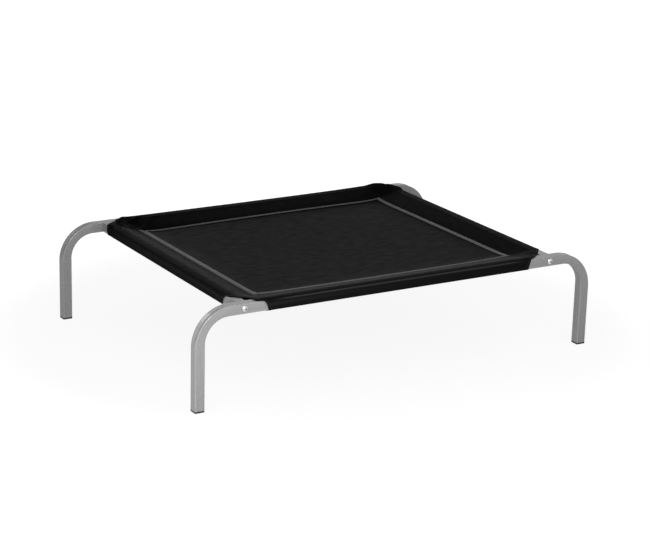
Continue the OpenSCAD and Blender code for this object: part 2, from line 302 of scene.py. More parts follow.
# threads are about 1 mm apart on the real cloth, drawn coarser so that they show
# in each cloth look the third colour is the painted highlight colour, laid where a point attribute marks the
# cloth
sleeveLook = {
    "deep": "#0a0a0a", "toned": "#0e0e0e", "scuffAndHighlight": "#3c3c3c", "cloud": 40.0, "roughness": 0.55,
    "specular": 0.0, "pitch": 1.8, "wander": 0.8, "threadShade": 0.4, "bump": 0.15, "relief": 0.12,
    "nap": 0.072, "patch": 14.0, "stretch": 1.0, "uneven": 0.25,
}
panelLook = {
    "deep": "#161616", "toned": "#1f1f1f", "scuffAndHighlight": "#242424", "cloud": 26.0, "roughness": 0.6,
    "specular": 0.0, "pitch": 2.6, "wander": 0.8, "threadShade": 0.45, "bump": 0.4, "relief": 0.16,
    "nap": 0.076, "patch": 12.0, "stretch": 2.5, "uneven": 0.32,
}
tapeLook = {
    "deep": "#4c4c4c", "toned": "#5a5a5a", "scuffAndHighlight": "#9a9a9a", "cloud": 18.0, "roughness": 0.7,
    "specular": 0.1, "pitch": 1.5, "wander": 0.2, "threadShade": 0.45, "bump": 0.4, "relief": 0.15,
    "nap": 0.25, "patch": 20.0, "stretch": 1.0, "uneven": 0.2,
}
threadLook = {"colour": "#2a2a2a", "twist": 0.6, "depth": 0.08, "roughness": (0.45, 0.6), "specular": 0.3}


def spunThread():  # polyester sewing thread: a tight twist with a dull shine
    material, tree = startMaterial("spunThread")
    place = addNode(tree, "ShaderNodeTexCoord").outputs["Object"]
    twist = addNode(tree, "ShaderNodeTexNoise", {
        "Vector": place, "Scale": 1 / (threadLook["twist"] * mm), "Detail": 1.0})
    bump = addNode(tree, "ShaderNodeBump", {
        "Height": twist, "Strength": 0.4, "Distance": threadLook["depth"] * mm})
    gloss = addNode(tree, "ShaderNodeMapRange", {"Value": twist, **span("To", threadLook["roughness"])})
    shader = addNode(tree, "ShaderNodeBsdfPrincipled", {
        "Base Color": linear(threadLook["colour"]), "Roughness": gloss,
        "Specular IOR Level": threadLook["specular"], "Normal": bump})
    return endMaterial(material, shader)


steel = powderCoatedSteel()
bright = zincPlatedSteel()
barSteel = turnedSteel()
plastic = mouldedPolyethylene()
sleeveCloth = clothMaterial("wovenPolyester", sleeveLook)
panelCloth = clothMaterial("wovenPolyethylene", panelLook)
tapeCloth = clothMaterial("ribbedPolyesterTape", tapeLook)
thread = spunThread()
print("materials made")

finishes = {"leg": steel, "side_rail": steel, "cross_rail": steel, "end_plug": barSteel,
            "corner_bolt": bright, "foot_cap": plastic}
for name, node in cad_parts.items():
    for start, finish in finishes.items():
        if name.startswith(start):
            node.data.materials.clear()
            node.data.materials.append(finish)
print("frame finished")

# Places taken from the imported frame, in mm
railLow, railHigh = boxOf("side_rail_front")
crossLow, crossHigh = boxOf("cross_rail_left")
tapeLow, tapeHigh = boxOf("seam_tape_front")
panelLow, panelHigh = boxOf("sleeping_panel")
railZ = (railLow[2] + railHigh[2]) / 2
railY = -(railLow[1] + railHigh[1]) / 2  # front and rear rails run at -railY and railY
railX = -(crossLow[0] + crossHigh[0]) / 2  # left and right rails run at -railX and railX
tubeHalf = (railHigh[2] - railLow[2]) / 2
seamOuter, seamInner = tapeLow[1] + railY, tapeHigh[1] + railY  # the seam's edges, from the rail's middle
tapeTop, tapeBottom = tapeHigh[2] - railZ, tapeLow[2] - railZ

# Legs: the tube's walls are dished where the bending die pressed them

# the bend's radius, how deep its walls are dished, half the dished width and where the walls are cut for it,
# in mm; the angle over which the dish fades in, and the angle of an edge that stays sharp
press = {"radius": 66.0, "outer": 3.2, "inner": 2.2, "flat": 8.4, "cuts": (1.5, 3.0, 4.5, 6.0, 7.5),
         "fade": 24.0, "sharp": 40.0, "weld": 0.001}


def pressedLeg(name):  # the leg's own mesh, cut finer across the bend and pushed in between its edges
    low, high = boxOf(name)
    middleY = high[1] - tubeHalf
    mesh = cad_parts[name].data.copy()
    work = bmesh.new()
    work.from_mesh(mesh)
    bmesh.ops.remove_doubles(work, verts=work.verts, dist=press["weld"] * mm)
    for cut in press["cuts"]:
        for side in (-1, 1):
            bmesh.ops.bisect_plane(work, geom=[*work.verts, *work.edges, *work.faces],
                                   plane_co=(0, (middleY + side * cut) * mm, 0), plane_no=(0, 1, 0))
    right = high[0] > 0
    foot = high[0] - tubeHalf if right else low[0] + tubeHalf
    inwards = -1 if right else 1
    radius = press["radius"]
    tube = work.verts.layers.float_vector.new("tube")  # place in the tube: sideways, out of the bend, along
    for vert in work.verts:
        x, y, z = (c / mm for c in vert.co)
        along, up = radius - (x - foot) * inwards, z - (railZ - radius)
        outwards = math.hypot(max(along, 0.0), max(up, 0.0)) - radius
        passed = min(up, 0.0) - min(along, 0.0) + radius * math.atan2(max(up, 0.0), max(along, 0.0))
        vert[tube] = Vector((y - middleY, outwards, passed)) * mm
        if along <= 0 or up <= 0 or abs(y - middleY) >= press["flat"]:
            continue
        turn = math.degrees(math.atan2(up, along))
        full = float(smoothStep(min(turn, 90 - turn) / press["fade"]))
        reach = math.hypot(along, up)
        depth = -press["outer"] if reach > radius else press["inner"]
        push = depth * full * math.cos((y - middleY) / press["flat"] * math.pi / 2) ** 2 / reach
        vert.co.x -= along * push * inwards * mm
        vert.co.z += up * push * mm
    bmesh.ops.triangulate(work, faces=[face for face in work.faces if len(face.verts) > 4])
    work.to_mesh(mesh)
    work.free()
    mesh.shade_smooth()
    mesh.set_sharp_from_angle(angle=math.radians(press["sharp"]))
    mesh.materials.clear()
    mesh.materials.append(steel)
    piece = addObject(name + "_pressed", mesh)
    level = piece.modifiers.new("flatFaces", "WEIGHTED_NORMAL")
    level.keep_sharp = True
    level.weight = 100
    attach(piece, "root")
    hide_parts(name)
    return piece


legs = [pressedLeg(name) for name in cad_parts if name.startswith("leg_")]
print("legs", [len(leg.data.polygons) for leg in legs])

sleeve = {
    "cloth": 0.6,  # thickness of the cloth
    "slip": 0.2,  # room between tube and cloth
    "tubeCorner": 1.5,
    "layer": 0.7,  # each layer's middle above or below the panel's middle along the seam
    "faceCrown": 0.15,
    "underCrown": 0.2,
    "swell": {"top": 0.8, "face": 1.0, "under": 0.8},  # each face's share of an end's swell
    "seamTilt": 0.6,  # rise of the seam's outer edge over its inner one
    "seamEnds": 16,  # power by which the seam's hang ends at the corners
    "leanFrom": 1.0,  # height over the tube from which a cut leans
    "upper": (2.0, 12.0),  # a corner's rise fades from the upper layer over this height
    "mitreGap": 0.3,
    "mitreDip": 0.7,
    "allowance": 7.0,  # cloth turned in along the mitre, its least depth, room below it and slant
    "allowanceLeast": 0.3,
    "allowanceRoom": 0.4,
    "allowanceSlant": 0.5,
    "hem": 7.0,  # width of the turned hem at a corner cut
    "rows": {"seam": (5, 4), "slope": (18, 14), "leave": 2, "top": 14, "arris": 7, "face": 9, "under": 7},
    "columns": 240,
    "bunch": 0.45,  # how far the columns close up towards the ends
}
# slow unevenness of the cloth: height, the lengths over which it changes in mm or rows, and a seed
ripples = {
    "slope": {"height": 0.3, "first": 70.0, "second": 60.0, "seed": 3.1},
    "corner": {"height": 0.35, "first": 15.0, "second": 60.0, "seed": 5.7},
    "tube": {"height": 0.12, "first": 45.0, "second": 9.0, "seed": 2.3},
}
pucker = {"height": 0.07, "pitch": 6.5, "reach": 16.0, "seed": 7.3}  # gathers beside the seam
# each corner's cut: its distance from the joint, the cloth's rise over the rails, its arch, its turned-down
# edge, and how full the cloth is between the tape's corner and the cut
corners = {
    "frontLeft": {"cut": 29.5, "crest": 1.2, "arch": 0.0, "roll": 0.8, "bulge": 1.6},
    "frontRight": {"cut": 28.9, "crest": 1.8, "arch": 0.0, "roll": 1.5, "bulge": 1.6},
    "rearLeft": {"cut": 27.6, "crest": 2.2, "arch": 0.0, "roll": 0.0, "bulge": 2.2},
    "rearRight": {"cut": 28.7, "crest": 3.0, "arch": 6.6, "roll": 0.0, "bulge": 1.8},
}
# what all corners share: the length that turns down, the facet's run into the slope, softness at its border,
# half its width, its border, half the arch's width, the arch's power, half the mitre's width, the mitre's run
# into the seam, how far along a sleeve a corner reaches, and the share and crest of the lower layer
cornerShape = {"roll": 16.0, "run": 16.0, "soft": 0.16, "half": 46.0, "border": 12.0, "archHalf": 48.0,
               "archPower": 1.3, "mitre": 2.2, "mitreRun": 12.0, "reach": 125.0, "underShare": 0.4,
               "underCrest": 0.5}
# the cover is sewn a little out of square: each panel corner's place, and how far it is off
seamDrift = (((-1, 1), (-6.6, -10.9)), ((1, 1), (-3.3, -3.0)))
# each side's tube, quarter turns from the front, joint's distance along and across, rise of its top and where
# that is highest, rise of its slope beside the seam, how far the seam hangs in the middle, how that changes
# along it and towards its ends, and how much wider the tape is than the seam on either side;
# at each end of a side: the corner, how far back its edge goes over the rail, how far down the face it leans
# and how deep that is reached, the swell, how far the top stands off the rail, and where both die out
endKeys = ("corner", "back", "lean", "depth", "swell", "stand", "fade")
sides = {
    "front": {"tube": "side_rail_front", "turn": 0, "reach": railX, "rail": railY, "crown": 0.6, "skew": 0.85,
              "slope": 0.2, "hang": (3.0, 0.2, -1.4), "spare": 0.3,
              "ends": (("frontLeft", -12.0, 22.0, 6.0, 1.2, 0.0, 28.0),
                       ("frontRight", 6.0, 10.0, 11.0, 1.2, 0.0, 28.0))},
    "right": {"tube": "cross_rail_right", "turn": 1, "reach": railY, "rail": railX, "crown": 0.3, "skew": 1.8,
              "slope": 0.35, "hang": (2.9, 0.0, 0.3), "spare": 0.4,
              "ends": (("frontRight", 2.4, 9.0, 6.0, 1.2, 0.0, 28.0),
                       ("rearRight", 1.0, 9.0, 6.0, 1.5, 0.5, 30.0))},
    "rear": {"tube": "side_rail_rear", "turn": 2, "reach": railX, "rail": railY, "crown": 0.2, "skew": 1.8,
             "slope": 0.35, "hang": (2.4, 1.4, 2.4), "spare": -1.0,
             "ends": (("rearRight", 3.0, 9.0, 6.0, 1.5, 3.2, 95.0),
                      ("rearLeft", 4.8, 6.0, 6.0, 2.0, 0.5, 40.0))},
    "left": {"tube": "cross_rail_left", "turn": 3, "reach": railY, "rail": railX, "crown": 0.65, "skew": 0.85,
             "slope": -0.9, "hang": (1.5, 1.2, 0.0), "spare": 1.2,
             "ends": (("rearLeft", -5.3, 0.5, 6.0, 1.2, 0.0, 28.0),
                      ("frontLeft", -0.5, 22.0, 7.0, 1.0, 0.0, 28.0))},
}
for laid in sides.values():
    laid["ends"] = [dict(zip(endKeys, end)) for end in laid["ends"]]


def sectionOf(skew):  # rows of a sleeve from the seam round the tube and back: place, share of a crown, zone
    off = sleeve["slip"] + sleeve["cloth"] / 2
    radius, core = sleeve["tubeCorner"] + off, tubeHalf - sleeve["tubeCorner"]
    run, drop = seamOuter - core, sleeve["layer"] - core
    # the slope leaves the tube at this angle
    lean = math.atan2(drop, run) + math.acos(radius / math.hypot(run, drop))
    counts = sleeve["rows"]
    rows = []

    def straight(a, b, count, zone):
        for i in range(count):
            f = i / count
            g = f**skew if zone == "top" else f
            early = zone == "slope" and a[0] > b[0]  # either hump rises to 1, the early one beside the seam
            hump = 27 / 4 * f * (1 - f) ** 2 if early else 4 * g * (1 - g)
            rows.append((a[0] + (b[0] - a[0]) * f, a[1] + (b[1] - a[1]) * f, hump, zone))

    def arc(middle, first, last, count):
        for i in range(count):
            turn = first + (last - first) * i / count
            x, y = middle[0] + radius * math.cos(turn), middle[1] + radius * math.sin(turn)
            rows.append((x, y, 0.0, "arris"))

    quarter = math.pi / 2
    layer = sleeve["layer"]
    leave = (core + radius * math.cos(lean), core + radius * math.sin(lean))
    straight((seamInner, layer), (seamOuter, layer), counts["seam"][0], "seam")
    straight((seamOuter, layer), leave, counts["slope"][0], "slope")
    arc((core, core), lean, quarter, counts["leave"])
    straight((core, core + radius), (-core, core + radius), counts["top"], "top")
    arc((-core, core), quarter, 2 * quarter, counts["arris"])
    straight((-core - radius, core), (-core - radius, -core), counts["face"], "face")
    arc((-core, -core), 2 * quarter, 3 * quarter, counts["arris"])
    straight((-core, -core - radius), (core, -core - radius), counts["under"], "under")
    arc((core, -core), 3 * quarter, 4 * quarter - lean, counts["leave"])
    straight((leave[0], -leave[1]), (seamOuter, -layer), counts["slope"][1], "slope")
    straight((seamOuter, -layer), (seamInner, -layer), counts["seam"][1], "seam")
    rows.append((seamInner, -layer, 0.0, "seam"))
    return rows


def endOf(inward, height, end):  # how far from the joint a row starts, at the mitre or at the corner's cut
    over = end["back"] * float(smoothStep((tubeHalf - inward) / (2 * tubeHalf)))
    down = end["lean"] * (1 - math.exp((height - tubeHalf - sleeve["leanFrom"]) / end["depth"]))
    cut = corners[end["corner"]]["cut"] + over + down - inward
    mitre = inward + sleeve["mitreGap"] / math.sqrt(2)
    return max(cut, mitre), cut > mitre


def drifted(x, y):  # the cover's drift, full at the panel's corners and nothing at the rails
    panelX, panelY = railX - seamOuter, railY - seamOuter
    edge = np.minimum(railX - np.abs(x), railY - np.abs(y))
    free = smoothStep((edge - tubeHalf) / (seamOuter - tubeHalf))
    moveX, moveY = 0.0, 0.0
    for (signX, signY), (offX, offY) in seamDrift:
        share = free * np.clip((panelX + signX * x) / (2 * panelX), 0, 1)
        share = share * np.clip((panelY + signY * y) / (2 * panelY), 0, 1)
        moveX, moveY = moveX + offX * share, moveY + offY * share
    return x + moveX, y + moveY


def cornerLift(inward, along, height, corner):  # rise near a corner: taut facet, arched edge, mitre
    shape = cornerShape
    total, side = inward + along, (inward - along) / math.sqrt(2)
    far = 2 * seamOuter
    share = min(max((far - total) / (far - corner["cut"]), 0.0), 1.0)
    crest = tubeHalf + sleeve["slip"] + corner["crest"]
    facet = sleeve["layer"] + (crest - sleeve["layer"]) * (1 - (1 - share) ** corner["bulge"])
    facet -= corner["roll"] * float(smoothStep((corner["cut"] + shape["roll"] - total) / shape["roll"]))
    gap = facet - height
    lift = 0.5 * (gap + math.sqrt(gap * gap + shape["soft"]))
    lift *= float(smoothStep((far - total) / shape["run"]))
    lift *= float(smoothStep((shape["half"] - abs(side)) / shape["border"]))
    rise = (1 - min(abs(side) / shape["archHalf"], 1) ** 2) ** 2 * share ** shape["archPower"]
    dip = sleeve["mitreDip"] * math.exp(-((side / shape["mitre"]) ** 2))
    dip *= float(smoothStep((far - total) / shape["mitreRun"]))
    dip /= 1 + corner["arch"] * share
    return lift + corner["arch"] * rise - dip


def hang(side, share):  # how far the seam hangs, from -1 at a side's first corner to 1 at its second
    middle, skew, ends = sides[side]["hang"]
    share = np.clip(share, -1, 1)
    return (1 - share ** sleeve["seamEnds"]) * (middle + skew * share + ends * share**2)


def seamLift(side, along, inward):  # the seam's tilt and hang, dying out towards the tube
    out = np.clip((inward - tubeHalf) / (seamOuter - tubeHalf), 0, 1)
    tilt = sleeve["seamTilt"] * np.minimum(out, (seamInner - inward) / (seamInner - seamOuter))
    return tilt - out * hang(side, along / (sides[side]["reach"] - inward))


def ripple(kind, first, second, turn):
    look = ripples[kind]
    return look["height"] * noise.noise((first / look["first"], second / look["second"], turn * look["seed"]))


def sleeveGrid(side):  # deformed points of one sleeve in its own frame: along, inward, height
    turn, reach, ends = (sides[side][k] for k in ("turn", "reach", "ends"))
    rows = sectionOf(sides[side]["skew"])
    place = np.array([row[:2] for row in rows])
    step = np.gradient(place, axis=0)
    out = np.stack([step[:, 1], -step[:, 0]], 1)
    out /= np.linalg.norm(out, axis=1)[:, None]
    crowns = {"top": sides[side]["crown"], "face": sleeve["faceCrown"], "slope": sides[side]["slope"],
              "under": sleeve["underCrown"], "seam": 0.0, "arris": 0.0}
    spread = np.linspace(0, 1, sleeve["columns"] + 1)
    spread = spread - sleeve["bunch"] / (2 * math.pi) * np.sin(2 * math.pi * spread)
    upperFrom, upperRun = sleeve["upper"]
    grid = np.zeros((len(rows), len(spread), 3))
    cuts = []
    for i, (inward, height, hump, zone) in enumerate(rows):
        (first, firstCut), (last, lastCut) = (endOf(inward, height, end) for end in ends)
        cuts.append((firstCut, lastCut))
        upper = float(smoothStep((height + upperFrom) / upperRun))
        for j, share in enumerate(spread):
            along = -reach + first + (2 * reach - first - last) * share
            near = reach - abs(along)
            start, end = (first, ends[0]) if along < 0 else (last, ends[1])
            corner = corners[end["corner"]]
            slack = math.exp(-(near - start) / end["fade"])
            off = hump * (crowns[zone] + end["swell"] * sleeve["swell"].get(zone, 0.0) * slack)
            if zone in ("slope", "seam"):
                gather = math.exp(-max(seamOuter - inward, 0.0) / pucker["reach"]) * (zone == "slope")
                stray = noise.noise((along / pucker["pitch"], turn * pucker["seed"], 0.0))
                off += gather * pucker["height"] * stray
                off += hump * ripple("slope", along, inward, turn)
                off += hump * slack * ripple("corner", along + inward, along - inward, turn)
            else:
                off += hump * ripple("tube", along, i, turn)
            u, w = inward + out[i, 0] * off, height + out[i, 1] * off
            if zone != "seam":
                w += end["stand"] * slack * upper
            if near < cornerShape["reach"] and zone != "seam" and height > 0:
                w += cornerLift(u, near, w, corner) * upper
            elif near < cornerShape["reach"] and zone == "slope":
                lower = {**corner, "arch": 0.0, "crest": cornerShape["underCrest"]}
                w -= cornerShape["underShare"] * cornerLift(u, near, -w, lower)
            if zone in ("slope", "seam"):
                w += seamLift(side, along, inward)
            grid[i, j] = along, u, w
    return grid, rows, cuts


def turned90(x, y, times):
    for _ in range(times):
        x, y = -y, x
    return x, y


def toWorld(points, side):  # from a side's own frame to the row frame, with the cover's drift
    x, y = turned90(points[..., 0], points[..., 1] - sides[side]["rail"], sides[side]["turn"])
    x, y = drifted(x, y)
    return np.stack([x, y, points[..., 2] + railZ], -1)


def clothObject(name, points, faces, flat, material, thick):
    mesh = bpy.data.meshes.new(name)
    mesh.from_pydata((points * mm).tolist(), [], faces)
    layer = mesh.uv_layers.new(name="cloth")
    used = np.zeros(len(mesh.loops), np.int32)
    mesh.loops.foreach_get("vertex_index", used)
    layer.data.foreach_set("uv", (flat[used] * mm).astype(np.float32).ravel())
    mesh.shade_smooth()
    mesh.materials.append(material)
    piece = addObject(name, mesh)
    solid = piece.modifiers.new("thickness", "SOLIDIFY")
    solid.thickness = thick * mm
    solid.offset = 0.0
    solid.use_even_offset = True
    return piece


def setValues(piece, name, values):  # a value at each point of the cloth's grid, none on its turned edges
    every = np.zeros(len(piece.data.vertices), np.float32)
    every[: values.size] = values.ravel()
    piece.data.attributes.new(name, "FLOAT", "POINT").data.foreach_set("value", every)


def gridFaces(rowCount, columnCount):
    index = np.arange(rowCount * columnCount).reshape(rowCount, columnCount)
    quads = np.stack([index[:-1, :-1], index[:-1, 1:], index[1:, 1:], index[1:, :-1]], -1)
    return quads.reshape(-1, 4).tolist()


# painted light on the cover: a painted highlight line along the front arris, a painted sheen band on the
# faces that is strongest at the front left corner, and painted light on the outer faces; heights from the
# tube's middle and lengths in mm
paintedLight = {
    "arris": 1.0, "line": 9.5, "width": 1.0, "start": 50.0, "full": 60.0,
    "face": 0.22, "height": 1.8, "spread": 3.0, "reach": {"front": 230.0, "left": 450.0},
    "outerFaceLight": {"front": 0.11, "left": 0.06}, "outer": 1.5,
}


# painted light on the front and left sleeves: the arris highlight line, the sheen band and the lighter outer
# faces
def paintedLightOn(side, grid, rows):
    zones = np.array([row[3] for row in rows])
    place = np.array([row[:2] for row in rows])
    outer = place[:, 0] < -tubeHalf + paintedLight["outer"]
    amount = np.zeros(grid.shape[:2])
    if side in paintedLight["reach"]:
        amount += paintedLight["outerFaceLight"][side] * (np.isin(zones, ("face", "arris")) & outer)[:, None]
        sign = 1 if side == "front" else -1
        away = sides[side]["reach"] + sign * grid[..., 0]
        band = np.exp(-(((place[:, 1] - paintedLight["height"]) / paintedLight["spread"]) ** 2)) * (zones == "face")
        amount += paintedLight["face"] * band[:, None] * np.exp(-((away / paintedLight["reach"][side]) ** 2))
    if side == "front":
        edge = np.exp(-(((place[:, 1] - paintedLight["line"]) / paintedLight["width"]) ** 2)) * outer
        fade = smoothStep((sides[side]["reach"] - np.abs(grid[..., 0]) - paintedLight["start"]) / paintedLight["full"])
        amount += paintedLight["arris"] * edge[:, None] * fade
    return np.clip(amount, 0, 1)


# painted shade in folds at a sleeve's corner, taken from the nap: share, mm along it, the folds' pitch and
# slant
foldShade = {
    ("rear", "rearLeft"): {"share": 1.3, "reach": 95.0, "pitch": 9.0, "slant": 0.5},
    ("left", "rearLeft"): {"share": 0.75, "reach": 80.0, "pitch": 7.0, "slant": 0.5},
    ("rear", "rearRight"): {"share": 0.5, "reach": 70.0, "pitch": 8.0, "slant": 0.4},
    ("right", "rearRight"): {"share": 0.5, "reach": 50.0, "pitch": 8.0, "slant": -0.4},
    ("front", "frontRight"): {"share": 0.4, "reach": 30.0, "pitch": 7.0, "slant": 0.3},
}
crease = {"level": 0.6, "depth": 1.2, "length": 4.0, "seed": 4.1, "least": 0.01}  # length in pitches


# painted shade: darker streaks of nap in the folds at a sleeve's corners
def foldShading(side, grid):
    amount = np.zeros(grid.shape[:2])
    for (name, corner), look in foldShade.items():
        if name != side:
            continue
        sign = 1 if sides[side]["ends"][0]["corner"] == corner else -1
        away = sides[side]["reach"] + sign * grid[..., 0]
        fade = np.exp(-((away / look["reach"]) ** 2))
        for i, j in zip(*np.nonzero(fade > crease["least"])):
            lie = (away[i, j] * look["slant"] + grid[i, j, 1]) / look["pitch"]
            far = away[i, j] / (crease["length"] * look["pitch"])
            wave = noise.noise((lie, far, sides[side]["turn"] * crease["seed"]))
            amount[i, j] += look["share"] * fade[i, j] * (crease["level"] + crease["depth"] * wave)
    return np.clip(amount, 0, 1)


sewnRows = []  # lines of stitches: points and the direction that they face
sleeves = {}
for side in sides:
    grid, rows, cuts = sleeveGrid(side)
    rowCount, columnCount = grid.shape[:2]
    lengths = np.linalg.norm(np.diff(np.array([row[:2] for row in rows]), axis=0), axis=1)
    across = np.concatenate([[0.0], np.cumsum(lengths)])
    points = toWorld(grid, side).reshape(-1, 3)
    flat = np.stack([grid[..., 0], np.broadcast_to(across[:, None], grid.shape[:2])], -1).reshape(-1, 2)
    faces = gridFaces(rowCount, columnCount)
    for end in (0, columnCount - 1):  # the allowance turned in along both mitres, above and below
        mitred = [i for i in range(rowCount) if not cuts[i][end > 0]]
        below = {}
        extra, extraFlat = [], []
        for i in mitred:
            sign = -1 if i < rowCount // 2 else 1
            room = max(abs(rows[i][1]) - sleeve["allowanceRoom"], sleeve["allowanceLeast"])
            depth = min(sleeve["allowance"], room)
            slant = sleeve["allowanceSlant"] if end == 0 else -sleeve["allowanceSlant"]
            foot = grid[i, end] + np.array([slant, 0.0, sign * depth])
            below[i] = len(points) + len(extra)
            extra.append(toWorld(foot, side))
            extraFlat.append((grid[i, end, 0], across[i] + depth))
        points = np.concatenate([points, np.array(extra)])
        flat = np.concatenate([flat, np.array(extraFlat)])
        for i in mitred:
            if i + 1 in below:
                here, there = i * columnCount + end, (i + 1) * columnCount + end
                ring = [here, there, below[i + 1], below[i]]
                faces.append(ring if end == 0 else ring[::-1])
    piece = clothObject(f"sleeve_{side}_cloth", points, faces, flat, sleeveCloth, sleeve["cloth"])
    setValues(piece, "paintedLight", paintedLightOn(side, grid, rows))
    setValues(piece, "napShade", foldShading(side, grid))
    sleeves[side] = (piece, grid, rows, cuts, across)
    print("sleeve", side, len(faces), "faces")

panel = {"step": 4.0, "sag": 3.5, "thick": 0.8, "ripple": 0.12, "ripplePitch": 55.0, "rippleSeed": 4.2,
         "calm": 14.0, "calmRun": 30.0}  # no ripple so near its edge, and the length over which it comes in


def panelHeight(x, y):
    sag = panel["sag"] * (1 - (x / panelHigh[0]) ** 2) * (1 - (y / panelHigh[1]) ** 2)
    edge = min(panelHigh[0] - abs(x), panelHigh[1] - abs(y))
    calm = float(smoothStep((edge - panel["calm"]) / panel["calmRun"]))
    middle = (seamOuter + seamInner) / 2
    alongX, alongY = x / (railX - middle), y / (railY - middle)
    pull = hang("front", alongX) * (1 - alongY) / 2 + hang("rear", -alongX) * (1 + alongY) / 2
    pull += hang("right", alongY) * (1 + alongX) / 2 + hang("left", -alongY) * (1 - alongX) / 2
    inward = min(railX - abs(x), railY - abs(y))
    tilt = sleeve["seamTilt"] * max(seamInner - inward, 0.0) / (seamInner - seamOuter)
    wave = noise.noise((x / panel["ripplePitch"], y / panel["ripplePitch"], panel["rippleSeed"]))
    return tilt - pull - sag + panel["ripple"] * calm * wave


columns = int((panelHigh[0] - panelLow[0]) / panel["step"]) + 1
rowsAcross = int((panelHigh[1] - panelLow[1]) / panel["step"]) + 1
gridX, gridY = np.meshgrid(np.linspace(panelLow[0], panelHigh[0], columns),
                           np.linspace(panelLow[1], panelHigh[1], rowsAcross))
gridZ = np.array([panelHeight(x, y) for x, y in zip(gridX.ravel(), gridY.ravel())])
panelPoints = np.stack([*drifted(gridX.ravel(), gridY.ravel()), gridZ + railZ], -1)
panelPiece = clothObject("sleeping_panel_cloth", panelPoints, gridFaces(rowsAcross, columns),
                         np.stack([gridX.ravel(), gridY.ravel()], -1), panelCloth, panel["thick"])
print("sleeping panel", columns, "by", rowsAcross)

tape = {
    "thick": 0.45, "edge": 1.5, "crown": 0.12, "sink": 0.4, "columns": 180, "rows": 9,
    "lump": 0.05, "lumpPitch": 9.0, "lumpSeeds": (3.3, 2.0),
    # painted shade: how much of its nap is taken away at a side's first corner, middle and second corner
    "tapeNapShade": {"front": (0.0, 0.1, 0.7), "right": (0.0, 0.0, 0.5),
                  "rear": (0.9, 0.5, 0.7), "left": (0.4, 0.0, 0.0)},
}
# a stitch's sizes in mm and how they vary, its mesh, and how a row of stitches lies on the tape and on a hem
stitch = {
    "pitch": 3.8, "length": 3.0, "width": 0.75, "height": 0.5, "seed": 5,
    "least": (0.9, 0.85, 0.85), "most": (1.08, 1.15, 1.15), "segments": 8, "rings": 5,
    "above": 0.05, "short": 1.0, "points": 80, "hemEdge": 1.5, "hemAbove": 0.1,
}
tapes = {}
sideSeed, lumpSeed = tape["lumpSeeds"]
for side in sides:
    turn, reach = sides[side]["turn"], sides[side]["reach"]
    middle = (tapeTop + tapeBottom) / 2
    inward = np.linspace(seamOuter - sides[side]["spare"], seamInner + sides[side]["spare"], tape["rows"])
    points, flat = [], []
    for u in inward:
        f = (u - seamOuter) / (seamInner - seamOuter)
        for share in np.linspace(-1, 1, tape["columns"] + 1):
            along = share * (reach - u)
            rise = tape["crown"] * (4 * f * (1 - f) - tape["sink"])
            rise += tape["lump"] * noise.noise((along / tape["lumpPitch"], turn * sideSeed, lumpSeed))
            points.append((along, u, middle + rise + seamLift(side, along, u)))
            flat.append((along, u))
    placed = toWorld(np.array(points), side)
    piece = clothObject(f"seam_tape_{side}_cloth", placed, gridFaces(tape["rows"], tape["columns"] + 1),
                        np.array(flat), tapeCloth, tape["thick"])
    setValues(piece, "napShade", np.interp(np.array(flat)[:, 0] / reach, (-1, 0, 1), tape["tapeNapShade"][side]))
    tapes[side] = piece
    for u in (seamOuter + tape["edge"], seamInner - tape["edge"]):
        half = reach - u - stitch["short"]
        run = np.linspace(-half, half, stitch["points"])
        lowest = -sleeve["layer"] - sleeve["cloth"] / 2 - stitch["above"]
        for height, facing in ((tapeTop + stitch["above"], 1.0), (lowest, -1.0)):
            line = np.stack([run, np.full_like(run, u), height + seamLift(side, run, u)], -1)
            sewnRows.append((toWorld(line, side), np.tile((0.0, 0.0, facing), (len(run), 1))))
print("tapes", len(tapes))


def pointOn(row, along):
    return np.array([np.interp(along, row[:, 0], row[:, k]) for k in range(3)])


for side, (piece, grid, rows, cuts, across) in sleeves.items():  # hem lines beside the corner cuts
    inset = sleeve["hem"] - stitch["hemEdge"]
    for end in (0, 1):
        line, facing = [], []
        for i in range(1, len(rows) - 1):
            if not cuts[i][end]:
                continue
            along = grid[i, 0, 0] + inset if end == 0 else grid[i, -1, 0] - inset
            change = pointOn(grid[i + 1], along) - pointOn(grid[i - 1], along)
            size = math.hypot(change[1], change[2])
            normal = np.array((0.0, change[2] / size, -change[1] / size))
            line.append(pointOn(grid[i], along) + normal * (sleeve["cloth"] / 2 + stitch["hemAbove"]))
            facing.append((*turned90(normal[0], normal[1], sides[side]["turn"]), normal[2]))
        sewnRows.append((toWorld(np.array(line), side), np.array(facing)))


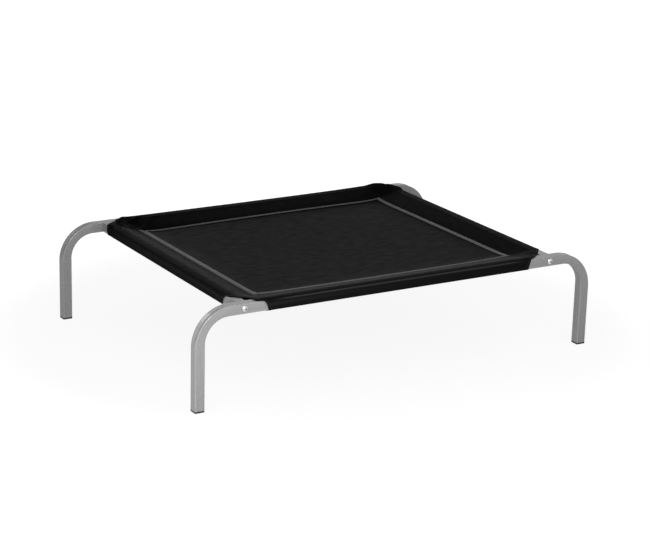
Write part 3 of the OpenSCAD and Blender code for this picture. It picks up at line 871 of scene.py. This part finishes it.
def stitchTree():  # thread lying on the cloth between needle holes, along each line of the mesh
    tree = bpy.data.node_groups.new("stitchRow", "GeometryNodeTree")
    face = tree.interface
    sorts = {"Geometry": "Geometry", **dict.fromkeys(("Pitch", "Length", "Width", "Height"), "Float"),
             "Seed": "Int", "Thread": "Material"}
    for name, sort in sorts.items():
        face.new_socket(name, in_out="INPUT", socket_type="NodeSocket" + sort)
    face.new_socket("Geometry", in_out="OUTPUT", socket_type="NodeSocketGeometry")
    given = addNode(tree, "NodeGroupInput").outputs
    line = addNode(tree, "GeometryNodeMeshToCurve", {"Mesh": given["Geometry"]})
    even = addNode(tree, "GeometryNodeResampleCurve", {
        "Curve": line, "Length": given["Pitch"]}, mode="LENGTH")
    tangent = addNode(tree, "GeometryNodeInputTangent")
    outward = addNode(tree, "GeometryNodeInputNamedAttribute", {"Name": "outward"}, data_type="FLOAT_VECTOR")
    along = addNode(tree, "FunctionNodeAlignRotationToVector", {"Vector": tangent}, axis="X")
    upright = addNode(tree, "FunctionNodeAlignRotationToVector", {
        "Rotation": along, "Vector": outward.outputs["Attribute"]}, axis="Z", pivot_axis="X")
    uneven = addNode(tree, "FunctionNodeRandomValue", {
        0: stitch["least"], 1: stitch["most"], "Seed": given["Seed"]}, data_type="FLOAT_VECTOR")
    size = addNode(tree, "ShaderNodeCombineXYZ", {
        "X": given["Length"], "Y": given["Width"], "Z": given["Height"]})
    ball = addNode(tree, "GeometryNodeMeshUVSphere", {
        "Segments": stitch["segments"], "Rings": stitch["rings"], "Radius": 0.5})
    lying = addNode(tree, "GeometryNodeTransform", {"Geometry": ball, "Rotation": (0.0, math.pi / 2, 0.0)})
    shaped = addNode(tree, "GeometryNodeTransform", {"Geometry": lying, "Scale": size})
    placed = addNode(tree, "GeometryNodeInstanceOnPoints", {
        "Points": even, "Instance": shaped, "Rotation": upright, "Scale": uneven.outputs["Value"]})
    real = addNode(tree, "GeometryNodeRealizeInstances", {"Geometry": placed})
    smooth = addNode(tree, "GeometryNodeSetShadeSmooth", {"Geometry": real})
    dressed = addNode(tree, "GeometryNodeSetMaterial", {"Geometry": smooth, "Material": given["Thread"]})
    addNode(tree, "NodeGroupOutput", {"Geometry": dressed})
    return tree


def grown(name, source, tree, values):  # runs a tree on a mesh and keeps the result as a plain mesh
    holder = addObject(name + "_lines", source)
    maker = holder.modifiers.new("maker", "NODES")
    maker.node_group = tree
    for item in tree.interface.items_tree:
        if item.in_out == "INPUT" and item.name in values:
            maker[item.identifier] = values[item.name]
    graph = bpy.context.evaluated_depsgraph_get()
    mesh = bpy.data.meshes.new_from_object(holder.evaluated_get(graph), depsgraph=graph)
    bpy.data.objects.remove(holder)
    mesh.name = name
    return addObject(name, mesh)


linePoints, lineEdges, lineFacing = [], [], []
for points, facing in sewnRows:
    start = len(linePoints)
    linePoints += (points * mm).tolist()
    lineFacing += facing.tolist()
    lineEdges += [(start + i, start + i + 1) for i in range(len(points) - 1)]
lines = bpy.data.meshes.new("stitchLines")
lines.from_pydata(linePoints, lineEdges, [])
outward = lines.attributes.new("outward", "FLOAT_VECTOR", "POINT")
outward.data.foreach_set("vector", np.array(lineFacing, np.float32).ravel())
stitches = grown("cover_stitches", lines, stitchTree(), {
    "Pitch": stitch["pitch"] * mm, "Length": stitch["length"] * mm, "Width": stitch["width"] * mm,
    "Height": stitch["height"] * mm, "Seed": stitch["seed"], "Thread": thread})
print("stitches,", len(stitches.data.polygons), "faces")

# What each piece rides on and stands for

for side, (piece, grid, rows, cuts, across) in sleeves.items():
    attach(piece, "root")
    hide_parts(f"sleeve_{side}")
    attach(tapes[side], "root")
    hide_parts(f"seam_tape_{side}")
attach(panelPiece, "root")
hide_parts("sleeping_panel")
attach(stitches, "root")

# Studio: pale floor, white surroundings, soft lamps

# the floor's glow to the eye grows between two shares over this distance from the middle, in metres
studio = {"paper": "#f4f4f4", "shown": (0.8, 1.0), "clear": (0.55, 0.95), "glow": 1.12, "floorSize": 30.0,
          "fill": 0.27, "white": 1.0}


def seenRays(tree):  # 1 for what the eye, a reflection or glass looks at, 0 for light that falls on the cot
    path = addNode(tree, "ShaderNodeLightPath").outputs
    seen = addNode(tree, "ShaderNodeMath", {
        0: path["Is Camera Ray"], 1: path["Is Glossy Ray"]}, operation="ADD")
    return addNode(tree, "ShaderNodeMath", {0: seen, 1: path["Is Transmission Ray"]},
                   operation="ADD", use_clamp=True)


def paperSweep():  # matt white paper that keeps the shadow, and shows as white to the eye and in reflections
    material, tree = startMaterial("paperSweep")
    place = addNode(tree, "ShaderNodeTexCoord").outputs["Object"]
    apart = addNode(tree, "ShaderNodeVectorMath", {0: place}, operation="LENGTH")
    clear = addNode(tree, "ShaderNodeMapRange", {
        "Value": apart, **span("From", studio["clear"]),
        **span("To", studio["shown"])}, interpolation_type="SMOOTHSTEP")
    part = addNode(tree, "ShaderNodeMath", {0: seenRays(tree), 1: clear}, operation="MULTIPLY")
    matt = addNode(tree, "ShaderNodeBsdfDiffuse", {"Color": linear(studio["paper"])})
    glow = addNode(tree, "ShaderNodeEmission", {"Color": (1, 1, 1, 1), "Strength": studio["glow"]})
    both = addNode(tree, "ShaderNodeMixShader", {"Fac": part, 1: matt, 2: glow})
    return endMaterial(material, both)


half = studio["floorSize"] / 2
floorMesh = bpy.data.meshes.new("studioFloor")
floorEdge = [(-half, -half, 0), (half, -half, 0), (half, half, 0), (-half, half, 0)]
floorMesh.from_pydata(floorEdge, [], [(0, 1, 2, 3)])
floorMesh.materials.append(paperSweep())
floor = addObject("studioFloor", floorMesh)

world = bpy.data.worlds.new("studio")
bpy.context.scene.world = world
world.use_nodes = True
tree = world.node_tree
tree.nodes.clear()
fill = addNode(tree, "ShaderNodeBackground", {"Color": (1, 1, 1, 1), "Strength": studio["fill"]})
white = addNode(tree, "ShaderNodeBackground", {"Color": (1, 1, 1, 1), "Strength": studio["white"]})
sky = addNode(tree, "ShaderNodeMixShader", {"Fac": seenRays(tree), 1: fill, 2: white})
addNode(tree, "ShaderNodeOutputWorld", {"Surface": sky})

# place, aim and size in metres, power in watts; a lamp gives glints or matt light, some to bare metal only
lamps = {
    "key": {"place": (-0.9, -0.76, 0.2), "aim": (-0.2, -0.1, 0.15), "size": (0.8, 0.25), "power": 4.3,
            "glints": False, "metalOnly": False},
    "front": {"place": (0.1, -1.0, 0.34), "aim": (-0.1, 0.0, 0.19), "size": (0.8, 0.25), "power": 2.2,
              "glints": False, "metalOnly": False},
    "glint": {"place": (-2.4, -2.3, 2.9), "aim": (-0.4, 0.0, 0.15), "size": (0.5, 0.5), "power": 170.0,
              "glints": True, "metalOnly": True},
    "top": {"place": (-0.2, -0.5, 1.0), "aim": (-0.2, -0.4, 0.2), "size": (0.5, 0.5), "power": 2.9,
            "glints": False, "metalOnly": True},
    "rim": {"place": (-1.3, 0.0, 1.4), "aim": (-0.42, -0.3, 0.15), "size": (0.6, 0.6), "power": 7.0,
            "glints": True, "metalOnly": True},
}
bareMetal = bpy.data.collections.new("bareMetal")
metal = ("corner_bolt", "cross_rail", "side_rail")
for piece in legs + [node for name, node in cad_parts.items() if name.startswith(metal)]:
    bareMetal.objects.link(piece)
for name, lamp in lamps.items():
    data = bpy.data.lights.new(name, "AREA")
    data.shape = "RECTANGLE"
    data.size, data.size_y = lamp["size"]
    data.energy = lamp["power"]
    light = addObject(name, data)
    light.visible_camera = False
    light.visible_glossy = lamp["glints"]
    light.visible_diffuse = not lamp["glints"]
    if lamp["metalOnly"]:
        light.light_linking.receiver_collection = bareMetal
    light.location = lamp["place"]
    light.rotation_euler = (Vector(lamp["aim"]) - Vector(lamp["place"])).to_track_quat("-Z", "Y").to_euler()

# Camera, fitted to the photograph's frame of 650 by 551 pixels; lengths in mm, angles in degrees
photo = {"width": 650, "azimuth": 30.759, "elevation": 17.262, "roll": 1.499, "distance": 4164.3,
         "target": (4.4, -7.9, 120.6), "focalPixels": 2015.4, "sensor": 36.0,
         "farthest": 100.0}  # the sensor for the camera's own lens scale; the farthest seen, in m
around, above, roll = (math.radians(photo[k]) for k in ("azimuth", "elevation", "roll"))
back = Vector((-math.sin(around) * math.cos(above), -math.cos(around) * math.cos(above), math.sin(above)))
right = Vector((math.cos(around), -math.sin(around), 0.0))
up = back.cross(right)
right, up = math.cos(roll) * right + math.sin(roll) * up, math.cos(roll) * up - math.sin(roll) * right
lens = bpy.data.cameras.new("camera")
lens.sensor_fit = "HORIZONTAL"
lens.sensor_width = photo["sensor"]
lens.lens = photo["focalPixels"] / photo["width"] * lens.sensor_width
lens.clip_end = photo["farthest"]
camera = addObject("camera", lens)
camera.matrix_world = Matrix.Translation((Vector(photo["target"]) + back * photo["distance"]) * mm) @ Matrix(
    (right, up, back)).transposed().to_4x4()
bpy.context.scene.camera = camera
bpy.context.scene.view_settings.view_transform = "Standard"
print("studio and camera set")
